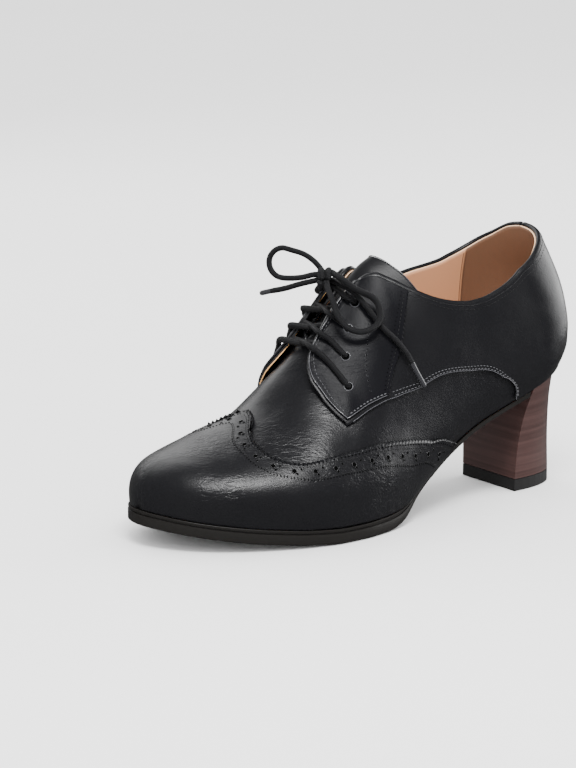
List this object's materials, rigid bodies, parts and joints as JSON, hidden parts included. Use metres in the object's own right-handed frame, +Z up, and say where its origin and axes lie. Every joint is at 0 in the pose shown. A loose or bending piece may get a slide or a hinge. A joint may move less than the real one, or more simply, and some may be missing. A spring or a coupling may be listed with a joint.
{
  "type": "heeled derby shoe",
  "caption": "Left women's laced derby shoe, low cut, with a perforated wing cap, pointed lacing flaps, leather lining and a flared block heel.",
  "frame": {"origin": "floor plane, under the centre of the shoe's box", "axes": "-Y towards the toe, +Y towards the heel, +X towards the outer side of a left foot, +Z up"},
  "size_m": [0.0894, 0.226, 0.1199],
  "materials": {
    "upper": "semi-gloss black with a fine crinkled grain",
    "wing": "semi-gloss black, pinked edge, perforated",
    "quarter": "semi-gloss black",
    "facing": "semi-gloss black, pinked rear edge",
    "tongue": "semi-gloss black",
    "sole": "satin black",
    "insole": "smooth tan lining and sock",
    "heel": "dark reddish brown stack with fine lines",
    "top_piece": "matt black",
    "lace": "woven matt black cord"
  },
  "bodies": {
    "root": {"upper": "upper", "wing_cap": "wing", "quarter_outer": "quarter", "quarter_inner": "quarter", "stay_outer": "facing", "stay_inner": "facing", "tongue": "tongue", "outsole": "sole", "insole": "insole", "heel_block": "heel", "top_piece": "top_piece", "lacing": "lace", "lace_knot": "lace", "lace_loop_outer": "lace", "lace_loop_inner": "lace", "lace_end_outer": "lace", "lace_end_inner": "lace"}
  },
  "joints": []
}
